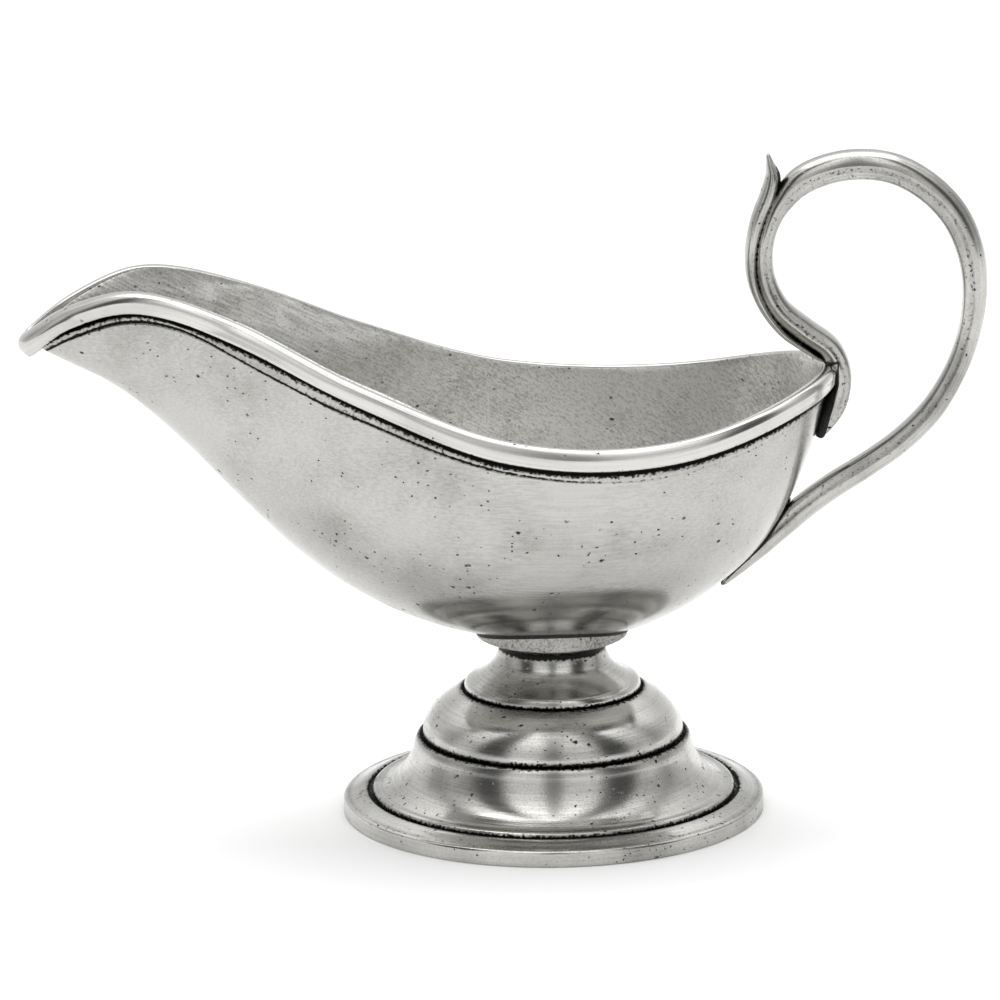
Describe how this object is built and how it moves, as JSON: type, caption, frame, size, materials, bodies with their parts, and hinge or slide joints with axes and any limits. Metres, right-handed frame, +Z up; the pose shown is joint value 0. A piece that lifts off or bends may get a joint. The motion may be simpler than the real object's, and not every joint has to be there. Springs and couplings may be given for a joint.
{
  "type": "sauce boat",
  "caption": "Footed pewter sauce boat with a long pouring spout, a raised rim, a stepped round foot and a scroll handle with a leaf thumb rest.",
  "frame": {"origin": "on the foot's axis, in the plane of the table the foot stands on", "axes": "+X towards the handle, -X towards the spout, +Z up, the boat symmetrical about the XZ plane"},
  "size_m": [0.2351, 0.1024, 0.1637],
  "materials": {
    "pewter_bowl": "satin pewter, brushed along the bowl, dark in the pits",
    "pewter_bright": "polished pewter",
    "pewter_foot": "turned pewter, brushed round the axis, dark grooves",
    "pewter_handle": "cast pewter, hand polished, dark in the creases",
    "pewter_dark": "cast pewter with a dark patina",
    "solder_dark": "soldered seam with a black patina"
  },
  "bodies": {
    "root": {"foot_base_ring": "pewter_foot", "foot_bell": "pewter_foot", "foot_dome": "pewter_foot", "foot_spool": "pewter_foot", "neck_collar": "pewter_dark", "bowl": "pewter_bowl", "rim_moulding": "pewter_bright", "handle_scroll": "pewter_handle", "handle_leaf": "pewter_handle", "solder_bowl_to_collar": "solder_dark", "solder_handle_lower": "solder_dark", "solder_handle_upper": "solder_dark"}
  },
  "joints": []
}
